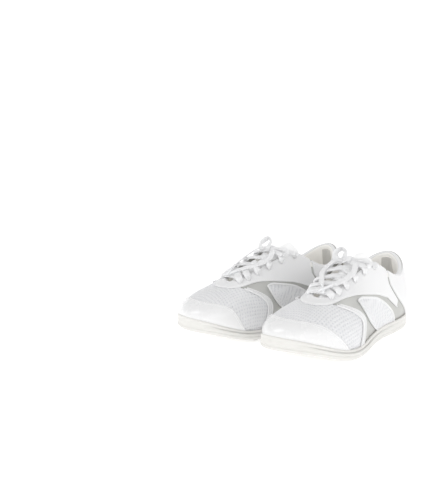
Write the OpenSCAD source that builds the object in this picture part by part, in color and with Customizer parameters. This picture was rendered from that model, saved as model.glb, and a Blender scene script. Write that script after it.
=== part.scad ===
// A pair of low-cut cheer shoes with tied laces, in millimetres.
// Each shoe is drawn as a left shoe, toe towards -Y and outer side towards +X; the right shoe mirrors it.
// Every piece of the upper lies on one curved skin. A place on that skin is [q, t]: q counts the ribs
// from the toe (0) along the outer side to the heel (10), and is negative along the inner side;
// t runs up a rib from the sole (0) to the top edge (1).

/* [Pair] */
// Distance between the two shoes' centre lines
pair_spacing = 108; // [108:1:160]
// How far the right shoe stands ahead of the left one
stagger = 5; // [0:1:60]
// Angle that each toe points outwards
toe_out = 5; // [0:1:6]
// How much further the right toe points outwards
right_extra_turn = 3; // [0:1:3]

/* [Sole] */
// Thickness of the sole's side wall
wall_thickness = 5; // [4.5:0.5:6]
// Thickness of the tread pads under the ball and the heel
tread_thickness = 1.5; // [1:0.5:2]
// Rise of the toe tip off the ground
toe_spring = 19; // [10:1:20]
// Thickness of the loose sock liner
liner_thickness = 3.4; // [2.5:0.1:3.6]

/* [Upper] */
// Height of the top edge at the heel
heel_height = 88; // [84:1:94]
// Thickness of the upper's base fabric
fabric_thickness = 1.3; // [1:0.1:1.4]
// Thickness of a sewn-on overlay
overlay_thickness = 1; // [0.8:0.1:1.2]
// Thickness of the padding in the collar
padding_thickness = 5; // [4:0.5:6]

/* [Lacing] */
// Eyelets on each side
eyelet_rows = 6; // [5:1:6]
// Radius of a punched eyelet
eyelet_radius = 2.3; // [2.2:0.1:2.6]
// Width of the flat lace
lace_width = 7.5; // [5:0.5:9]
// Thickness of the flat lace
lace_thickness = 1.6; // [1.2:0.1:1.8]

/* [Hidden] */
WHITE = [0.96, 0.96, 0.96];
MESH_GREY = [0.9, 0.91, 0.93];
SILVER = [0.72, 0.72, 0.7];
RUBBER = [0.91, 0.91, 0.89];
LINING = [0.86, 0.85, 0.82];
TAPE = [0.72, 0.7, 0.67];
FOAM = [0.82, 0.8, 0.74];
BOARD = [0.7, 0.62, 0.5];

// Ribs from toe to heel: [foot y, foot half width outside, inside, edge y, edge half width, edge height,
// push of the foot handle, its rise, push of the edge handle, its drop, toe lift share, wall height]
RIBS = [
    [-127, 0, 0, -57, 0, 62, 12, 20, 38, 10, 1, 17],
    [-117, 22, 21, -55, 8, 63, 12, 21, 34, 12, 0.92, 16],
    [-97, 34, 34.5, -47, 12, 66, 9, 23, 29, 16, 0.6, 13.5],
    [-68, 43, 43, -34, 13.5, 71, 6.5, 26, 25, 21, 0.1, 12.5],
    [-38, 43, 42, -15, 15, 78, 4.5, 29, 21, 27, 0, 12.5],
    [-6, 35, 33, 7, 17, 85, 2.5, 31, 16, 33, 0, 13],
    [28, 29, 27, 30, 20, 93, 2, 34, 12, 36, 0, 14.5],
    [58, 31, 30, 54, 28, 74.5, 4, 30, 8, 24, 0, 15.5],
    [86, 32, 31, 84, 31, 63, 9, 26, 4, 17, 0, 16.5],
    [110, 24, 24, 108, 22, heel_height - 8, 12, 30, 5, 24, 0, 17],
    [121, 0, 0, 118, 0, heel_height + 2, 12, 32, 6, 26, 0, 17]
];
HEEL = len(RIBS) - 1;
ROUND = 2 * HEEL;
TOE_SHIFT = -12;
// Puts the middle of the pair's box over the origin
CENTRE = [1.5, 2.4, 0];
FLOOR = 8.5;
EPS = 0.01;

// Levels of the stack inside the sole, above the tread's lift
CUP_FLOOR = 4.6;
MIDSOLE_TOP = 7.6;
SHANK_TOP = 8.8;
BOARD_BOTTOM = 9.1;
BOARD_TOP = 10.6;

// Depths of the layers below the skin, and gaps between them
LAYER_GAP = 0.3;
STIFFENER_DEPTH = fabric_thickness + LAYER_GAP;
STIFFENER_THICKNESS = 1.3;
LINING_DEPTH = STIFFENER_DEPTH + STIFFENER_THICKNESS + LAYER_GAP;
LINING_THICKNESS = 0.8;
EYELET_T = 0.94;
FIRST_EYELET = 1.6;
LAST_EYELET = 5.85;

// One control row of the closed loop of ribs; the inner side comes back from heel to toe
function wrapped(k) = (k % ROUND + ROUND) % ROUND;
function control(k) = let(
        w = wrapped(k),
        inner = w > HEEL,
        r = RIBS[inner ? ROUND - w : w],
        lean = TOE_SHIFT * max(0, 1 - (inner ? ROUND - w : w) / 3))
    [(inner ? -r[2] : r[1]) + lean, r[0], (inner ? -1 : 1) * r[4], r[3], r[5],
     r[6], r[7], r[8], r[9], r[10] * toe_spring, r[11]];

// Smooth cubic blend of the control rows at q
function rib(q) = let(k = floor(q), f = q - k)
    ((1 - f) ^ 3 * control(k - 1)
    + (3 * f ^ 3 - 6 * f ^ 2 + 4) * control(k)
    + (-3 * f ^ 3 + 3 * f ^ 2 + 3 * f + 1) * control(k + 1)
    + f ^ 3 * control(k + 2)) / 6;

// Outward direction in plan at q
function outward(q) = let(a = rib(q - EPS), b = rib(q + EPS), d = [b[0] - a[0], b[1] - a[1]])
    [d[1], -d[0], 0] / norm(d);

function on_rib(r, n, t) = let(
        foot = [r[0], r[1], r[9] + FLOOR],
        edge = [r[2], r[3], r[4]],
        foot_handle = foot + n * r[5] + [0, 0, r[6]],
        edge_handle = edge + n * r[7] - [0, 0, r[8]])
    (1 - t) ^ 3 * foot + 3 * t * (1 - t) ^ 2 * foot_handle
    + 3 * t ^ 2 * (1 - t) * edge_handle + t ^ 3 * edge;
function skin(q, t) = on_rib(rib(q), outward(q), t);
function normal(q, t) = let(
        n = cross(skin(q + EPS, t) - skin(q - EPS, t), skin(q, t + EPS) - skin(q, t - EPS)))
    n / norm(n);
function off_skin(q, t, d) = skin(q, t) + d * normal(q, t);

function mix(a, b, f) = a * (1 - f) + b * f;
function smooth(f) = let(c = min(1, max(0, f))) c * c * (3 - 2 * c);

// Closed sheet between two grids of points, each nu + 1 by nv + 1
module sheet(top, under, nu, nv) {
    w = nv + 1;
    count = (nu + 1) * w;
    rim = concat(
        [for (i = [0 : nu - 1]) [i * w, (i + 1) * w]],
        [for (j = [0 : nv - 1]) [nu * w + j, nu * w + j + 1]],
        [for (i = [nu : -1 : 1]) [i * w + nv, (i - 1) * w + nv]],
        [for (j = [nv : -1 : 1]) [j, j - 1]]);
    faces = concat(
        [for (i = [0 : nu - 1], j = [0 : nv - 1]) let(a = i * w + j)
            each [[a, a + 1, a + w], [a + 1, a + w + 1, a + w]]],
        [for (i = [0 : nu - 1], j = [0 : nv - 1]) let(a = count + i * w + j)
            each [[a, a + w, a + 1], [a + 1, a + w, a + w + 1]]],
        [for (e = rim) each [[e[0], e[1], e[1] + count], [e[0], e[1] + count, e[0] + count]]]);
    polyhedron(points = [for (grid = [top, under], row = grid) each row], faces = faces);
}

// Piece of a layer: place(u, v) gives [q, t], and the layer lies between two heights over the skin
module layer(place, nu, nv, high, low) {
    grid = function(height) [for (i = [0 : nu]) [for (j = [0 : nv])
        let(p = place(i / nu, j / nv)) off_skin(p[0], p[1], height(p[0], p[1]))]];
    sheet(grid(high), grid(low), nu, nv);
}
module overlay(place, nu, nv) {
    layer(place, nu, nv, function(q, t) LAYER_GAP + overlay_thickness, function(q, t) LAYER_GAP);
}
module fabric(place, nu, nv) {
    layer(place, nu, nv, function(q, t) 0, function(q, t) -fabric_thickness);
}

// Closed solid stacked from rings that follow the foot outline: each ring is [outset, height]
module stacked(rings, from_q = 0, to_q = HEEL, steps = 22) {
    n = steps;
    around = concat(
        [for (i = [0 : n]) mix(from_q, to_q, i / n)],
        [for (i = [n : -1 : 0]) -mix(from_q, to_q, i / n)]);
    // The toe and heel ends are single points when the stack spans the whole foot
    full = from_q == 0 && to_q == HEEL;
    qs = full ? [for (i = [0 : 2 * n - 1]) i * HEEL / n] : around;
    m = len(qs);
    pts = [for (ring = rings) for (q = qs) let(r = rib(q), o = outward(q))
        [r[0], r[1], r[9]] + o * ring(q)[0] + [0, 0, ring(q)[1]]];
    walls = [for (k = [0 : len(rings) - 2], i = [0 : m - 1]) let(a = k * m + i, b = k * m + (i + 1) % m)
        each [[a, a + m, b], [b, a + m, b + m]]];
    last = (len(rings) - 1) * m;
    caps = full
        ? [for (i = [0 : n - 1]) let(a = i, b = i + 1, c = (m - i) % m, d = m - i - 1)
            each concat(i < n - 1 ? [[a, b, d]] : [], i > 0 ? [[a, d, c]] : [])]
        : [for (i = [0 : n - 1]) let(a = i, b = i + 1, c = m - 1 - i, d = m - 2 - i)
            each [[a, b, d], [a, d, c]]];
    tops = [for (f = caps) [f[0] + last, f[2] + last, f[1] + last]];
    polyhedron(points = pts, faces = concat(caps, tops, walls));
}

function wall_top(q) = rib(q)[10];
// Place on the upper that is level with the top of the wall, found by repeated correction
function wall_t(q, t = 0.1, rounds = 8) = rounds == 0 ? t : let(
        r = rib(q),
        span = r[4] - r[9] - FLOOR,
        rest = 3 * t ^ 2 * (1 - t) * (span - r[8]) + t ^ 3 * span,
        better = (r[10] - FLOOR - rest) / (3 * (1 - t) ^ 2 * r[6]))
    wall_t(q, min(0.5, max(EPS, better)), rounds - 1);
// How far the upper leans out over its foot by the top of the wall
function wall_flare(q) = let(r = rib(q), p = skin(q, wall_t(q)), o = outward(q))
    (p[0] - r[0]) * o[0] + (p[1] - r[1]) * o[1];
// Outset of the wall's inner face, just clear of the overlays
WALL_INSET = overlay_thickness + 1;
WALL_EDGE = 0.7;
function wall_lip(q) = WALL_INSET + WALL_EDGE + wall_flare(q);
// Rounding of the bottom edge: [distance in from the wall's face, height above the tread]
EDGE_FOOT = [6, 0];
EDGE_MIDDLE = [2, 1];
EDGE_HEIGHT = 5;
module outsole() {
    color(RUBBER) stacked([
        function(q) [wall_thickness - EDGE_FOOT[0], tread_thickness + EDGE_FOOT[1]],
        function(q) [wall_thickness - EDGE_MIDDLE[0], tread_thickness + EDGE_MIDDLE[1]],
        function(q) [wall_thickness, tread_thickness + EDGE_HEIGHT],
        function(q) [wall_lip(q), wall_top(q) - 1],
        function(q) [wall_lip(q) - WALL_EDGE / 2, wall_top(q)],
        function(q) [WALL_INSET + wall_flare(q), wall_top(q) - WALL_EDGE],
        function(q) [WALL_INSET, CUP_FLOOR]]);
}
TREAD_INSET = EDGE_FOOT[0] + 1;
function tread_edge(q) = let(r = rib(q), o = outward(q), inset = wall_thickness - TREAD_INSET)
    [r[0] + inset * o[0], r[1] + inset * o[1]];
module tread_pad(front, back) {
    steps = 14;
    outer = [for (i = [0 : steps]) tread_edge(mix(front, back, i / steps))];
    inner = [for (i = [steps : -1 : 0]) tread_edge(-mix(front, back, i / steps))];
    linear_extrude(tread_thickness) polygon(concat(outer, inner));
}
module tread_pads() {
    color(RUBBER) {
        tread_pad(3.5, 4.9);
        tread_pad(6.9, 9.6);
    }
}
MIDSOLE_INSET = fabric_thickness + 1;
module midsole() {
    color(WHITE) stacked([
        function(q) [-MIDSOLE_INSET, CUP_FLOOR + LAYER_GAP],
        function(q) [-MIDSOLE_INSET, MIDSOLE_TOP]]);
}
SHANK_INSET = 20;
module shank() {
    color(SILVER) stacked([
        function(q) [-SHANK_INSET, MIDSOLE_TOP + LAYER_GAP],
        function(q) [-SHANK_INSET, SHANK_TOP]], 5, 7.6, 8);
}
INSIDE = LINING_DEPTH + LINING_THICKNESS;
module insole_board() {
    color(BOARD) stacked([
        function(q) [-INSIDE - 0.4, BOARD_BOTTOM],
        function(q) [-INSIDE - 0.4, BOARD_TOP]]);
}
module sock_liner() {
    color(LINING) stacked([
        function(q) [-INSIDE - 1.6, BOARD_TOP + LAYER_GAP],
        function(q) [-INSIDE - 0.8, BOARD_TOP + liner_thickness]]);
}

// Where the mesh of the vamp ends and the quarters begin
function vamp_end(t) = max(1.6, bow_line(t) + 0.13);
module vamp() {
    color(MESH_GREY) fabric(function(u, v) [mix(-vamp_end(v), vamp_end(v), u), v], 28, 6);
}
module vamp_lining() {
    color(LINING) layer(function(u, v) [mix(-5.9, 5.9, u), mix(0.04, 0.99, v)], 22, 5,
        function(q, t) -LINING_DEPTH, function(q, t) -INSIDE);
}
// Runs with u on the outer side and against it on the inner side, so that a mirrored piece faces outwards
function towards(side, u) = side > 0 ? u : 1 - u;
module quarter(side) {
    color(SILVER) fabric(function(u, v)
        [side * mix(vamp_end(v) + 0.05, HEEL - 0.02, towards(side, u)), v], 18, 6);
}
module toe_cap() {
    half = 3.05;
    centre = 0.1;
    color(WHITE) overlay(function(u, v) let(
            across = 2 * u - 1,
            // The cap falls away sooner on the outer side
            top = 0.05 + 0.47 * (1 - abs(across) ^ (across > 0 ? 2.2 : 3)))
        [centre + half * across, mix(0.01, top, v)], 20, 4);
}
module toe_puff() {
    color(FOAM) layer(function(u, v) [mix(-2.2, 2.2, u), mix(0.02, 0.34, v)], 14, 3,
        function(q, t) -STIFFENER_DEPTH, function(q, t) -STIFFENER_DEPTH - STIFFENER_THICKNESS);
}
// Piped bow that bounds the mesh, from the facing down to the sole
function bow_line(t) = 3.95 - 7.5 * max(0, t - 0.25) ^ 2.2;
TRIM_WIDTH = 0.26;
module vamp_trim(side) {
    color(WHITE) overlay(function(u, v) let(t = mix(0.01, 0.8, v))
        [side * (bow_line(t) + TRIM_WIDTH * towards(side, u)), t], 1, 12);
}
// Leaf-shaped mesh window low on the quarter
function window_front(t) = 6.15 - 5.2 * t + 2.6 * t ^ 2;
function window_back(t) = 7.2 - 6.8 * t ^ 2.4;
module side_window(side) {
    color(MESH_GREY) overlay(function(u, v) let(t = mix(0.01, 0.74, v))
        [side * mix(window_front(t), window_back(t), towards(side, u)), t], 5, 6);
}
function facing_foot(q) = 0.86 - 0.39 * smooth((abs(q) - 2.4) / 5.2);
module eyestay() {
    difference() {
        color(WHITE) overlay(function(u, v) let(q = mix(-6.6, 6.6, u))
            [q, mix(facing_foot(q), 0.995, v)], 36, 2);
        for (side = [-1, 1], i = [0 : eyelet_rows - 1])
            at_eyelet(side, i) cylinder(h = 8, r = eyelet_radius, center = true, $fn = 24);
    }
}
function eyelet_q(side, i) = side * mix(FIRST_EYELET, LAST_EYELET, i / (eyelet_rows - 1));
module at_eyelet(side, i) {
    q = eyelet_q(side, i);
    n = normal(q, EYELET_T);
    translate(skin(q, EYELET_T)) rotate([0, acos(n[2]), atan2(n[1], n[0])]) children();
}
// White saddle that sweeps down and back from the facing to a point
function heel_line(t) = max(6.9, 8.75 - 3.2 * t + 1.05 * t ^ 2);
function saddle_back(t) = heel_line(t) - 0.12 - 0.4 * smooth((0.5 - t) / 0.2);
function saddle_front(t) = 6.65 + 3.8 * max(0, 0.5 - t);
module side_saddle(side) {
    color(WHITE) overlay(function(u, v) let(t = mix(0.32, 0.995, v))
        [side * mix(saddle_front(t), saddle_back(t), towards(side, u)), t], 3, 10);
}
module heel_overlay() {
    color(WHITE) overlay(function(u, v) let(t = mix(0.01, 0.995, v))
        [mix(heel_line(t), ROUND - heel_line(t), u), t], 14, 6);
}
module heel_counter() {
    color(FOAM) layer(function(u, v) [mix(7.3, ROUND - 7.3, u), mix(0.02, 0.5, v)], 16, 3,
        function(q, t) -STIFFENER_DEPTH, function(q, t) -STIFFENER_DEPTH - STIFFENER_THICKNESS);
}
// The padding swells from here up to the top edge
PADDING_T = 0.5;
function padding(t) = padding_thickness * sqrt(max(0.04, sin(180 * min(1, (t - PADDING_T) / 0.56))));
// Depth of the lining, which passes over the padding
function cushion(t) = max(LINING_DEPTH, t > PADDING_T ? STIFFENER_DEPTH + LAYER_GAP + padding(t) : 0);
module collar_foam() {
    color(FOAM) layer(function(u, v) [mix(6.2, ROUND - 6.2, u), mix(0.54, 0.985, v)], 18, 3,
        function(q, t) -STIFFENER_DEPTH, function(q, t) -STIFFENER_DEPTH - padding(t));
}
module collar_lining() {
    color(LINING) layer(function(u, v) [mix(6.3, ROUND - 6.3, u), mix(0.04, 0.995, v)], 20, 7,
        function(q, t) -cushion(t), function(q, t) -cushion(t) - LINING_THICKNESS);
}
TAPE_HALF = 0.42;
TAPE_THICKNESS = 0.6;
TAPE_DEPTH = LINING_THICKNESS + 3 * LAYER_GAP;
module heel_tape() {
    color(TAPE) layer(function(u, v) [mix(HEEL - TAPE_HALF, HEEL + TAPE_HALF, u), mix(0.14, 0.97, v)], 2, 8,
        function(q, t) -TAPE_DEPTH - cushion(t), function(q, t) -TAPE_DEPTH - cushion(t) - TAPE_THICKNESS);
}

// Tongue: a padded strip under the lacing, hinged at its foot
TONGUE = [[0, -49, 52], [0, -16, 68], [0, 16, 82], [0, 44, 91]];
function tongue_line(v) = (1 - v) ^ 3 * TONGUE[0] + 3 * v * (1 - v) ^ 2 * TONGUE[1]
    + 3 * v ^ 2 * (1 - v) * TONGUE[2] + v ^ 3 * TONGUE[3];
function tongue_half(v) = mix(11, 17, smooth(v * 1.1)) * sqrt(1 - 0.75 * max(0, (v - 0.8) / 0.2) ^ 3);
// How strongly the tongue curves down at its sides
TONGUE_BEND = 0.034;
function tongue_point(u, v, d) = let(
        a = tongue_line(v - EPS), b = tongue_line(v + EPS), dir = (b - a) / norm(b - a),
        up = [0, -dir[2], dir[1]], x = tongue_half(v) * (2 * u - 1))
    tongue_line(v) + [x, 0, 0] + up * (d - TONGUE_BEND * x * x);
module tongue_layer(high, low, from_v = 0) {
    n = 8;
    grid = function(d) [for (i = [0 : n]) [for (j = [0 : n])
        tongue_point(i / n, mix(from_v, 1, j / n), d(i / n, j / n))]];
    sheet(grid(high), grid(low), n, n);
}
TONGUE_PAD = 4;
TONGUE_CROWN = 4;
TONGUE_SKIN = 1;
PAD_TOP = TONGUE_SKIN + 0.15;
function tongue_pad(u, v) = TONGUE_PAD * (0.3 + 0.7 * smooth(2.5 * v))
    * (0.25 + 0.75 * sqrt(sin(180 * mix(0.03, 0.97, u))));
module tongue_cover() {
    color(WHITE) tongue_layer(
        function(u, v) TONGUE_CROWN * (1 - (2 * u - 1) ^ 2) ^ 2, function(u, v) -TONGUE_SKIN);
}
module tongue_foam() {
    color(FOAM) tongue_layer(function(u, v) -PAD_TOP, function(u, v) -PAD_TOP - tongue_pad(u, v), 0.05);
}
module tongue_lining() {
    under = PAD_TOP + 0.15;
    color(LINING) tongue_layer(function(u, v) -under - tongue_pad(u, v),
        function(u, v) -under - LINING_THICKNESS - tongue_pad(u, v));
}

// Flat lace: an eight-sided oval swept through smoothed route points, with a width direction at each
function route(points, s) = let(k = min(len(points) - 2, floor(s)), f = s - k,
        p0 = points[max(0, k - 1)], p1 = points[k],
        p2 = points[k + 1], p3 = points[min(len(points) - 1, k + 2)])
    0.5 * (2 * p1 + (p2 - p0) * f + (2 * p0 - 5 * p1 + 4 * p2 - p3) * f ^ 2
        + (3 * p1 - p0 - 3 * p2 + p3) * f ^ 3);
// Widens an eight-sided ring so that it fills the oval it stands for
OVAL = 1.08;
module ribbon(points, faces_up, rings, width = lace_width, ends = 1, thick = lace_thickness) {
    last = len(points) - 1;
    sides = 8;
    pts = [for (i = [0 : rings]) let(
            s = last * i / rings,
            a = route(points, max(0, s - EPS)), b = route(points, min(last, s + EPS)),
            dir = (b - a) / norm(b - a), up0 = route(faces_up, s),
            across = cross(dir, up0) / norm(cross(dir, up0)), up = cross(across, dir),
            w = width / 2 * (i == 0 ? ends : i == rings ? ends : 1))
        for (j = [0 : sides - 1]) let(angle = 360 * (j + 0.5) / sides)
            route(points, s) + OVAL * (across * w * cos(angle) + up * thick / 2 * sin(angle))];
    faces = concat(
        [[for (j = [sides - 1 : -1 : 0]) j]],
        [[for (j = [0 : sides - 1]) rings * sides + j]],
        [for (i = [0 : rings - 1], j = [0 : sides - 1])
            let(a = i * sides + j, b = i * sides + (j + 1) % sides)
            each [[a, b, a + sides], [b, b + sides, a + sides]]]);
    polyhedron(points = pts, faces = faces);
}
LACE_LIFT = LAYER_GAP + overlay_thickness + lace_thickness / 2 + 0.5;
function over_eyelet(side, i, t, d) = off_skin(eyelet_q(side, i), t, d);
function middle(i, height) = let(p = skin(eyelet_q(1, i), 1)) [0, p[1] + 2, p[2] + height];
module crossing(side, i, height) {
    centre = (middle(i, height) + middle(i + 1, height)) / 2;
    points = [
        over_eyelet(side, i, EYELET_T - 0.005, LACE_LIFT), over_eyelet(side, i, 0.97, LACE_LIFT + 0.3),
        centre,
        over_eyelet(-side, i + 1, 1, -5.6), over_eyelet(-side, i + 1, 0.97, -6.1)];
    ups = [normal(eyelet_q(side, i), EYELET_T), normal(eyelet_q(side, i), 0.99), [0, -0.4, 1],
        normal(eyelet_q(-side, i + 1), 0.99), normal(eyelet_q(-side, i + 1), 0.95)];
    ribbon(points, ups, 7, lace_width, 0.7);
}
module first_bar() {
    outer_end = over_eyelet(1, 0, 0.98, LACE_LIFT + 0.2);
    inner_end = over_eyelet(-1, 0, 0.98, LACE_LIFT + 0.2);
    points = [over_eyelet(-1, 0, EYELET_T, LACE_LIFT), inner_end, middle(0, 2.2),
        outer_end, over_eyelet(1, 0, EYELET_T, LACE_LIFT)];
    ribbon(points, [for (lean = [-0.6, 0, 0, 0, 0.6]) [lean, -0.4, 1]], 10, lace_width, 0.7);
}
module lace_crossings() {
    color(WHITE) {
        first_bar();
        for (i = [0 : eyelet_rows - 2]) {
            crossing(1, i, 1.2);
            crossing(-1, i, 3.4);
        }
    }
}
KNOT = [0, 11, 92.5];
module lace_knot() {
    last = eyelet_rows - 1;
    color(WHITE) {
        ribbon([KNOT + [-7.5, 0, -2], KNOT + [-3, 0, 0], KNOT + [3, 0, 0], KNOT + [7.5, 0, -2]],
            [for (i = [0 : 3]) [0, -0.5, 1]], 8, 8.5, 0.7, 5.5);
        for (side = [-1, 1])
            ribbon([
                over_eyelet(side, last, EYELET_T, LACE_LIFT),
                over_eyelet(side, last, 0.98, LACE_LIFT + 0.4),
                from_knot(side, [8.5, -2, -1.8])],
                [normal(eyelet_q(side, last), EYELET_T), [side * 0.3, -0.4, 1], [0, -0.5, 1]],
                8, lace_width, 0.7);
    }
}
// Bow loops: out of the knot, round, and back into it. One stands up and the other lies flat
RAISED = [[7, 2, 1], [8, 5, 3.5], [9, 8, 7], [12, 9.5, 9], [17, 8, 8.5], [19, 3, 4.5], [16.5, -2.5, 1],
    [12, -4.5, -0.5], [8, -3, -1]];
RAISED_UP = [[0, -1, 0.6], [0, -1, 0.4], [0.3, -1, 0], [1, -0.5, 0], [1, 0, -0.2], [0.4, 1, -0.2],
    [0, 1, -0.4], [0, 1, -0.6], [0, 1, -0.6]];
FLAT = [[8, 1, 0.5], [13, 3, 1], [18, 4.5, 0.5], [23, 3, -1.5], [25.5, -1.5, -3.5], [21.5, -5, -3.5],
    [15, -5, -2], [8, -3, -1]];
FLAT_UP = [[0, 0, 1], [0, -0.3, 1], [0, -0.8, 0.8], [0.6, -0.8, 0.3], [1, -0.2, -0.2], [0.5, 0.6, -0.8],
    [0, 0.3, -1], [0, 0.2, -1]];
FREE_WIDTH = 6;
FREE_THICKNESS = 1.3;
// A point given from the knot, on the outer side (1) or the inner side (-1)
function from_knot(side, p) = KNOT + [side * p[0], p[1], p[2]];
module lace_loop(side, points, ups) {
    color(WHITE) ribbon([for (p = points) from_knot(side, p)], [for (p = ups) [side * p[0], p[1], p[2]]],
        18, FREE_WIDTH, 0.9, FREE_THICKNESS);
}
// The loop that stands up is the one on the wearer's right of each shoe
module loops(side) {
    raised = side == "left" ? -1 : 1;
    lace_loop(raised, RAISED, RAISED_UP);
    lace_loop(-raised, FLAT, FLAT_UP);
}
// Free ends: forwards out of the knot and down over the lacing
OUTER_TAIL = [[7, -5, 0], [13, -11, -1], [17, -20, -6.5], [17, -30, -10.5], [15, -40, -14],
    [12, -48, -15.8], [8, -56, -18]];
INNER_TAIL = [[7, -5, 0], [13, -11, -1], [17, -19, -6.2], [17, -29, -10.3], [13, -38, -13],
    [8, -47, -15], [2, -56, -18.5]];
AGLET_LENGTH = 16;
AGLET_RADIUS = 1.6;
function tail(side) = side > 0 ? OUTER_TAIL : INNER_TAIL;
module lace_tail(side) {
    // The outer tail tips further over as it leaves the middle
    tip_over = side > 0 ? 0.02 : 0;
    color(WHITE) ribbon([for (p = tail(side)) from_knot(side, p)],
        [for (p = tail(side)) [side * (0.2 + tip_over * p[0]), -0.4, 0.9]],
        12, FREE_WIDTH, 0.6, FREE_THICKNESS);
}
module aglet(side) {
    run = tail(side);
    tip = run[len(run) - 1];
    back = run[len(run) - 2];
    dir = [side * (tip[0] - back[0]), tip[1] - back[1], tip[2] - back[2]];
    start = from_knot(side, tip) + 0.2 * dir / norm(dir);
    color(WHITE) translate(start) rotate([0, acos(dir[2] / norm(dir)), atan2(dir[1], dir[0])])
        cylinder(h = AGLET_LENGTH, r = AGLET_RADIUS, $fn = 24);
}

SIDES = ["left", "right"];
PIECES = ["outsole", "tread_pads", "midsole", "shank", "insole_board", "sock_liner",
    "vamp", "vamp_lining", "toe_cap", "toe_puff", "vamp_trims",
    "outer_quarter", "inner_quarter", "windows", "eyestay", "saddles",
    "heel_overlay", "heel_counter", "collar_foam", "collar_lining", "heel_tape",
    "tongue_cover", "tongue_foam", "tongue_lining", "lace_crossings", "lace_knot",
    "bow_loops", "lace_tails", "aglets"];

module stand(side) {
    offset = [pair_spacing / 2, stagger / 2, 0];
    if (side == "left") translate(offset) rotate([0, 0, toe_out]) children();
    else translate(-offset) mirror([1, 0, 0]) rotate([0, 0, toe_out + right_extra_turn]) children();
}
module place(side) {
    translate(CENTRE) stand(side) children();
}
for (side = SIDES) {
    place(side) outsole();
    place(side) tread_pads();
    place(side) midsole();
    place(side) shank();
    place(side) insole_board();
    place(side) sock_liner();
    place(side) vamp();
    place(side) vamp_lining();
    place(side) toe_cap();
    place(side) toe_puff();
    place(side) for (s = [-1, 1]) vamp_trim(s);
    place(side) quarter(1);
    place(side) quarter(-1);
    place(side) for (s = [-1, 1]) side_window(s);
    place(side) eyestay();
    place(side) for (s = [-1, 1]) side_saddle(s);
    place(side) heel_overlay();
    place(side) heel_counter();
    place(side) collar_foam();
    place(side) collar_lining();
    place(side) heel_tape();
    place(side) tongue_cover();
    place(side) tongue_foam();
    place(side) tongue_lining();
    place(side) lace_crossings();
    place(side) lace_knot();
    place(side) loops(side);
    place(side) for (s = [-1, 1]) lace_tail(s);
    place(side) for (s = [-1, 1]) aglet(s);
}
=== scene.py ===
"""A pair of white cheer shoes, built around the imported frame. Shoe-local sizes are in millimetres."""
import math
import bmesh
import bpy
import numpy as np
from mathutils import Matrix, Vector


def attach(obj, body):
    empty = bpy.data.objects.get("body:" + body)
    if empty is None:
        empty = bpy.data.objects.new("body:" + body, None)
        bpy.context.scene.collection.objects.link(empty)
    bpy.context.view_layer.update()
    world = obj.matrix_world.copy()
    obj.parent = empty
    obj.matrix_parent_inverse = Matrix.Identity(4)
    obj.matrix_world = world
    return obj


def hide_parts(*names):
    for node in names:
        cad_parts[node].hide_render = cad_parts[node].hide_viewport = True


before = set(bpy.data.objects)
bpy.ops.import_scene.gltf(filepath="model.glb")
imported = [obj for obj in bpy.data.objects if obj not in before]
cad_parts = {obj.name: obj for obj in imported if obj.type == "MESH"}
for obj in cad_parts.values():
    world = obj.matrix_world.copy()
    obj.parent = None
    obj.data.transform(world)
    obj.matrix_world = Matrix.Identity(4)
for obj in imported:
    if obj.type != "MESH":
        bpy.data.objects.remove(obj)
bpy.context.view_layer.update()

# ---- The shoe's own skin, as in the CAD model ----
# Where each shoe stands: x, y and the angle its toe points outwards
STANDS = {"left": (54.0, 2.5, math.radians(5)), "right": (-54.0, -2.5, math.radians(8))}
CENTRE = (1.5, 2.4)
HEEL_HEIGHT = 88.0
TOE_SPRING = 19.0
TOE_SHIFT = -12.0
FLOOR = 8.5
# Ribs from toe to heel: foot y, foot half width outside, inside, edge y, edge half width, edge
# height, push of the foot handle, its rise, push of the edge handle, its drop, toe lift, wall height
RIBS = np.array([
    [-127, 0, 0, -57, 0, 62, 12, 20, 38, 10, 1, 17],
    [-117, 22, 21, -55, 8, 63, 12, 21, 34, 12, 0.92, 16],
    [-97, 34, 34.5, -47, 12, 66, 9, 23, 29, 16, 0.6, 13.5],
    [-68, 43, 43, -34, 13.5, 71, 6.5, 26, 25, 21, 0.1, 12.5],
    [-38, 43, 42, -15, 15, 78, 4.5, 29, 21, 27, 0, 12.5],
    [-6, 35, 33, 7, 17, 85, 2.5, 31, 16, 33, 0, 13],
    [28, 29, 27, 30, 20, 93, 2, 34, 12, 36, 0, 14.5],
    [58, 31, 30, 54, 28, 74.5, 4, 30, 8, 24, 0, 15.5],
    [86, 32, 31, 84, 31, 63, 9, 26, 4, 17, 0, 16.5],
    [110, 24, 24, 108, 22, HEEL_HEIGHT - 8, 12, 30, 5, 24, 0, 17],
    [121, 0, 0, 118, 0, HEEL_HEIGHT + 2, 12, 32, 6, 26, 0, 17]])
HEEL = len(RIBS) - 1
ROUND = 2 * HEEL
EPS = 0.01
SIDES = ("left", "right")


def control_rows():
    rows = []
    for w in range(ROUND):
        inner = w > HEEL
        k = ROUND - w if inner else w
        r = RIBS[k]
        sign = -1 if inner else 1
        lean = TOE_SHIFT * max(0, 1 - k / 3)
        rows.append([sign * r[2 if inner else 1] + lean, r[0], sign * r[4], r[3], r[5],
                     r[6], r[7], r[8], r[9], r[10] * TOE_SPRING, r[11]])
    return np.array(rows)


CONTROL = control_rows()


def rib(q):
    q = np.asarray(q, float)
    k = np.floor(q).astype(int)
    f = (q - k)[..., None]
    row = lambda step: CONTROL[(k + step) % ROUND]
    return ((1 - f) ** 3 * row(-1) + (3 * f ** 3 - 6 * f ** 2 + 4) * row(0)
            + (-3 * f ** 3 + 3 * f ** 2 + 3 * f + 1) * row(1) + f ** 3 * row(2)) / 6


def unit(v):
    return v / np.maximum(np.linalg.norm(v, axis=-1, keepdims=True), 1e-9)


def outward(q):
    d = rib(np.asarray(q) + EPS) - rib(np.asarray(q) - EPS)
    return unit(np.stack([d[..., 1], -d[..., 0], 0 * d[..., 0]], -1))


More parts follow.
